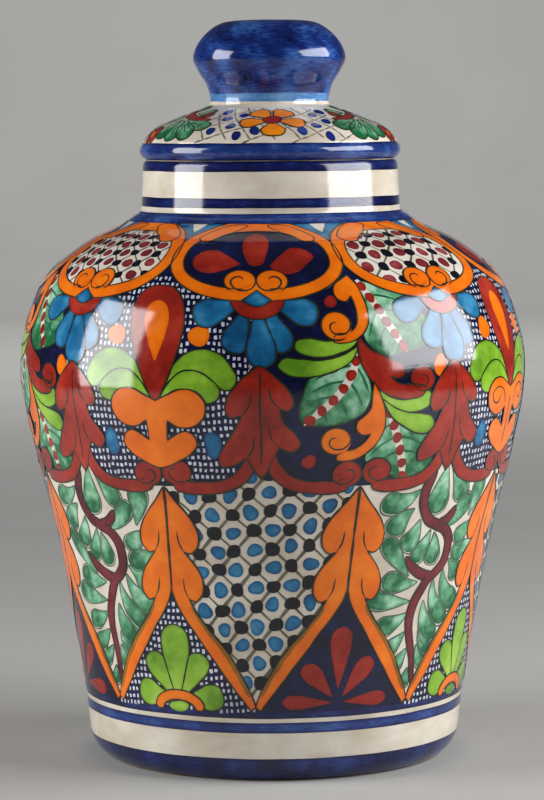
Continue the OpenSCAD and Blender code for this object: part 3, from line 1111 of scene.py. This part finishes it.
def rosette(b, within, k):
    """Three dark red petals on cobalt."""
    b.fill_mm("cobalt", within, k, 3.0)
    for petal in ([(-1.3, 361), (-2.6, 368), (-3.7, 382), (-3, 392), (0, 398.6), (3, 393),
                   (3.7, 383), (2.7, 370), (1.4, 361), (0, 359.6)],
                  [(-3.8, 362, 1), (-7.6, 371), (-11, 376), (-14.4, 375), (-16.6, 367.6),
                   (-15.4, 358), (-11.6, 353.4), (-7.4, 356.4)],
                  [(3.6, 360, 1), (6.4, 370), (10.4, 379), (13.6, 377), (15.4, 370), (13.2, 362),
                   (10.2, 354.6), (7.8, 352.2), (5, 354)]):
        b.shape("red", petal, 3.8, outline=False)


def dotted_net(b, within, k):
    """Black dabs on the knots of a net and dark red ones in its meshes, on white."""
    b.fill_mm("white", within, k, 3.0)
    close = 0.8 if b.axis == 315 else 0.92      # the net at the front's left is drawn closer
    rising, falling = close * np.array([4.75, 12.8]), close * np.array([4.75, -12.8])

    def free(q, margin=-2.0):
        p = np.array([[q[0] * k, q[1]]])
        return bool(inside(p, within)[0]) and distance(p, within)[0] > margin

    for i in range(-8, 9):
        for j in range(-8, 9):
            knot = np.array([-3.0, 382.0]) + i * rising + j * falling
            for way, width in ((rising, 1.5), (falling, 1.0)):
                if free(knot + way / 2, 1.0):
                    b.pen([tuple(knot), tuple(knot + way)], 3.4, width, "lattice")
            if free(knot):
                dab = knot + [rng.gauss(0, 0.25), rng.gauss(0, 0.6)]
                rx, ry = close * rng.uniform(4.0, 4.8), close * rng.uniform(3.7, 4.4)
                b.dot("black", dab, rx, ry, 3.8, square=0.08)
            mesh = knot + (rising + falling) / 2 + [rng.gauss(0, 0.2), rng.gauss(0, 0.6)]
            if free(mesh):
                rx, ry = close * rng.uniform(4.6, 5.3), close * rng.uniform(4.6, 5.3)
                b.dot("wine_dab", mesh, rx, ry, 3.7)


def shoulder_gap(b):
    """Turquoise wedge between two medallions, with a white triangle hanging from the neck line."""
    b.shape("turquoise", [(-11, 416), (0, 416), (11, 416), (7.4, 404), (3.6, 392), (1.2, 380),
                          (0, 370, 1), (-1.2, 380), (-3.6, 392), (-7.4, 404)], 1.2, outline=False)
    b.shape("white", [(-3.4, 413, 1), (3.4, 413, 1), (1.4, 406), (0, 401, 1), (-1.6, 406)], 2.0,
            outline=False)


# ------------------------------------------------------------------ the lid

def lid_flower(b):
    """Orange flower with five petals round a brown-red eye."""
    k = b.surface.degree(26)
    for n, turn in enumerate((-90, -18, 54, 126, 198)):
        t = math.radians(turn)
        base = (3 * math.cos(t) / k, 26.5 + 3 * math.sin(t))
        end = (21.5 * math.cos(t) / k, 26.5 + 20 * math.sin(t))
        b.petal("amber", base, end, 15, 2.4 + 0.12 * n, blunt=0.66, line=0.9)
    b.dot("red", (0, 26.5), 6.4, 6.0, 3.9, corners=20, outline=True)


def lid_sprig(b):
    """Green leaves, a red-brown stem, a bud and a small red flower."""
    leaves = [((-4, 27), (-26, 15), 13), ((-3, 26), (-18, 5), 14), ((0, 26), (-8, 3), 14),
              ((4, 27), (2, 4), 13), ((8, 33), (24, 24), 12), ((0, 38), (-16, 41), 10),
              ((8, 41), (7, 51), 10)]
    for n, (base, end, width) in enumerate(leaves):
        b.petal("leaf_green", base, end, width, 1.0 + 0.4 * (n % 2), line=0.8)
        vein = [tuple(np.array(base) + (np.array(end) - base) * t) for t in (0.25, 0.5, 0.8)]
        b.pen(vein, 2.0, 0.8, "vein")
    b.stroke("red", [(-22, 27), (-10, 29), (3, 33.5), (16, 43)], 2.6, 6.2, (0.5, 0.6), line=0.8)
    b.petal("red", (-8, 34), (-17, 37), 9, 2.6, line=0.8)
    for turn in (10, 80, 150, 220, 300):
        t = math.radians(turn)
        end = (13 + 6.5 * math.cos(t), 8 + 8.5 * math.sin(t))
        b.petal("red", (13, 8), end, 8, 2.6 + 0.1 * (turn % 4), line=0.7)
    b.dot("orange", (13, 8), 2.4, 2.6, 3.8)


def lid_net(b):
    """Slanting brown net round the dome with a cobalt dab in each mesh, clear of the flowers."""
    # steps in degrees and mm: 32 of one and 16 of the other lead once round, to the same height
    rising, falling = np.array([8.75, 5.6]), np.array([5.0, -11.2])

    def sprig(x, s):
        """Distance in mm to the axis of the nearest sprig."""
        return abs((x - FLOWER) % 120 - 60) * b.surface.degree(s)

    for i in range(-24, 28):
        for j in range(-16, 14):
            knot = i * rising + j * falling + [0, 9.0]
            if not -180 <= knot[0] < 180:
                continue
            for way in (rising, falling):
                bow = np.array([0, rng.gauss(0, 0.4)])
                for near, far in ((0.0, 0.5), (0.5, 1.0)):
                    middle = knot + way * (near + far) / 2
                    if 1.5 < middle[1] < 46 and sprig(*middle) > 22:
                        b.pen([tuple(knot + way * near + bow * (near > 0)), tuple(middle + bow / 2),
                               tuple(knot + way * far + bow * (far < 1))], 0.9, 1.2, "net")
            mesh = knot + (rising + falling) / 2 + [rng.gauss(0, 0.3), rng.gauss(0, 0.4)]
            if 5 < mesh[1] < 45 and b.clear(np.array([mesh]), 2.6)[0] and sprig(*mesh) > 17:
                b.dot("dab", mesh, rng.uniform(3.0, 3.6), rng.uniform(3.6, 4.5), 2.3, take=False)


# ------------------------------------------------------------------ assembly

MATERIALS = {name: glaze(name, *tones, **more) for name, (*tones, more) in PAINTS.items()}
GROUND = white_glaze("white_ground", (221, 214, 200), (196, 184, 165))
INSIDE = white_glaze("inside_glaze", (206, 190, 160), (176, 152, 118))
CLAY = bare_clay("bare_clay")

# heights in mm of the tops of the CAD's nodes
BODY_TOP, RIM, DOME_TOP, KNOB_TOP = (
    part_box(node)[1].z / MM for node in ("jar_body", "jar_neck", "lid_dome", "lid_knob"))
FLOWER = 1.5            # degrees from the front to the first flower of the lid
SWAY = {45: 0.0, 135: -1.4, 225: 1.6, 315: 3.6}    # drift of the stem in each leaf panel


def shell(node, body, materials, zone, step):
    """A smooth turned form in place of a CAD node."""
    line, to_axis = section(node)
    obj = turned(node + "_shell", line, to_axis, zone, materials, step)
    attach(obj, body)
    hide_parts(node)


# Which of its materials each stretch of a shell has, from its middle (r, z) and the way it faces

def body_zone(r, z, nr, nz):
    if z < 6 and nz < 0:
        return 2
    return 0 if (nr > 0 and z < 369) or (nz > 0.2 and z > 262 and r > 80 and nr >= 0) else 1


def knob_zone(r, z, nr, nz):
    if (nr > 0 and r > 36) or (nz > 0.5 and z > KNOB_TOP - 8):
        return 0 if z > DOME_TOP + 5 else 2
    return 1


shell("jar_body", "jar", [GROUND, INSIDE, CLAY], body_zone, 3.0)
shell("jar_neck", "jar", [GROUND, INSIDE],
      lambda r, z, nr, nz: 0 if nr > 0.05 else 1, 1.6)
shell("lid_dome", "lid", [GROUND, CLAY],
      lambda r, z, nr, nz: 0 if nz > 0.05 or nr > 0.4 else 1, 1.6)
shell("lid_ring", "lid", [CLAY], lambda r, z, nr, nz: 0, 2.0)
shell("lid_knob", "lid", [MATERIALS["knob_blue"], CLAY, GROUND], knob_zone, 1.6)

# the painted surfaces, between points (r, z) near their ends
WALL = Surface(outer_part("jar_body", (114, 0), (94, BODY_TOP))
               + outer_part("jar_neck", (94, BODY_TOP), (83, RIM))[1:])
LID_EDGE = Surface(outer_part("lid_dome", (84, RIM), (40, DOME_TOP)))
DOME = Surface(outer_part("lid_dome", (88, RIM + 11), (40, DOME_TOP)))
KNOB = Surface(outer_part("lid_knob", (40, DOME_TOP), (20, KNOB_TOP)))


# grounds
ring_band(WALL, "jar_", "cobalt", 53.0, panel_edge, 0.0, hand=hand_jar)
ring_band(WALL, "jar_", "cobalt", swag_edge, 416.0, 0.0, hand=hand_jar)

# lines at the foot, the neck and the lid
for paint, low, high, level in (("navy", 0.8, 16.5, 0.5), ("line_blue", 34, 41, 0.5),
                                ("navy", 44, 49.2, 0.7), ("line_blue", 366.6, 373, 7.0),
                                ("navy", 377, 383.4, 0.5)):
    ring_band(WALL, "jar_", paint, WALL.up_to(low), WALL.up_to(high), level)
ring_band(WALL, "jar_", "navy", WALL.up_to(401), WALL.top - 1.4, 1.0, rows=14)
ring_band(LID_EDGE, "lid_", "line_blue", LID_EDGE.up_to(RIM + 0.4), LID_EDGE.up_to(RIM + 11.8),
          1.0, rows=20)
ring_band(KNOB, "lid_", "pale_blue", KNOB.up_to(DOME_TOP + 2), KNOB.up_to(DOME_TOP + 7.5), 0.5)

# the four repeats of the jar's design
for front in range(0, 360, 90):
    for axis, fill in ((front, rosette), (front + 45, dotted_net)):
        b = Brush(WALL, axis, hand_jar, "jar_")
        if axis in SWAY:
            leaf_panel(b, SWAY[axis])
        else:
            dots_panel(b)
        tree_and_swags(b)
        daisy(b)
        medallion(b, fill)
    hatched = Brush(WALL, front - HALF, hand_jar, "jar_")
    solid = Brush(WALL, front + HALF, hand_jar, "jar_")
    for b in (hatched, solid):
        column(b)
        shoulder_gap(b)
    hatched_sector(hatched, curled=front > 0)
    lotus(hatched)
    cobalt_sector(solid)
    red_fan(solid)
for front in range(0, 360, 90):
    b = Brush(WALL, front - HALF, hand_jar, "jar_")
    hatch(b, lambda x, s: s > swag_edge(x - HALF) + 3, 208, 352)
    hatch(b, lambda x, s: s < panel_edge(x - HALF), 56, 132)

# the three repeats of the lid's
Brush.taken.clear()
for n in range(3):
    lid_flower(Brush(DOME, FLOWER + 120 * n, hand_lid, "lid_"))
    flip = -1 if n == 2 else 1
    lid_sprig(Brush(DOME, FLOWER + 60 + 120 * n, hand_lid, "lid_", flip=flip))
lid_net(Brush(DOME, 0, hand_lid, "lid_"))

for name, pot in Pigment.pots.items():
    body, paint = name.split("_", 1)
    piece = pot.mesh(f"{body}_paint_{paint}", MATERIALS[paint])
    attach(piece, body)


# ------------------------------------------------------------------ floor, light and camera

def studio_floor():
    """A pale floor that sweeps up into a wall far behind the jar."""
    f = Finish("floor")
    f.links.new(f.ramp(f.noise(6, 3), (0.0, (172, 171, 168)), (1.0, (182, 181, 178))),
                f.shader["Base Color"])
    f.shader["Roughness"].default_value = 0.8
    size, depth, bend, wall_top = 8.0, 4.9, 1.0, 1.3        # metres
    rows = [(-size, 0.0), (0.5, 0.0), (depth, 0.0)]
    rows += [(depth + bend * math.sin(t), bend * (1 - math.cos(t)))
             for t in np.linspace(0.1, math.pi / 2, 12)]
    rows.append((depth + bend, wall_top))
    co = [(x, y, z) for y, z in rows for x in (-size, size)]
    floor = new_mesh_object("studio_floor", co, quads(len(rows), 2, False), [f.material])


def softbox(name, azimuth, elevation, distance_m, width, height, power, aim=None):
    """A rectangular light placed in degrees from the front and above the jar's belly, facing the
    belly or the point aim."""
    target = Vector((0, 0, 0.3))
    a, e = math.radians(azimuth), math.radians(elevation)
    way = Vector((math.sin(a) * math.cos(e), -math.cos(a) * math.cos(e), math.sin(e)))
    light = bpy.data.lights.new(name, "AREA")
    light.shape = "RECTANGLE"
    light.size, light.size_y = width, height
    light.energy = power
    obj = bpy.data.objects.new(name, light)
    obj.location = target + way * distance_m
    facing = way if aim is None else obj.location - Vector(aim)
    obj.rotation_euler = facing.to_track_quat("Z", "Y").to_euler()
    bpy.context.scene.collection.objects.link(obj)


studio_floor()
softbox("softbox_left", -77, 13, 1.6, 0.92, 1.25, 30)
softbox("softbox_right", 77, 20, 1.6, 1.46, 1.0, 40)
softbox("softbox_backdrop", 180, 36, 3.95, 3.0, 0.8, 88, aim=(0, 5.25, -0.1))

world = bpy.data.worlds.new("studio")
world.use_nodes = True
world.node_tree.nodes["Background"].inputs["Color"].default_value = (0.80, 0.82, 0.85, 1)
world.node_tree.nodes["Background"].inputs["Strength"].default_value = 0.07
bpy.context.scene.world = world


def photo_camera():
    """Level with the lid, 2.3 m in front, tilted down by 5 degrees and rolled by half a degree."""
    place = (0, -2.304, 0.4417)
    pitch, roll = math.radians(4.943), math.radians(0.44)
    right = Vector((1, 0, 0))
    up = Vector((0, math.sin(pitch), math.cos(pitch)))
    back = Vector((0, -math.cos(pitch), math.sin(pitch)))
    right, up = (right * math.cos(roll) - up * math.sin(roll),
                 right * math.sin(roll) + up * math.cos(roll))
    data = bpy.data.cameras.new("camera")
    data.sensor_fit = "VERTICAL"
    data.sensor_height = 36
    data.lens = 151
    obj = bpy.data.objects.new("camera", data)
    bpy.context.scene.collection.objects.link(obj)
    turn = Matrix((right, up, back)).transposed().to_4x4()
    obj.matrix_world = Matrix.Translation(place) @ turn
    bpy.context.scene.camera = obj


photo_camera()
bpy.context.scene.view_settings.view_transform = "Standard"
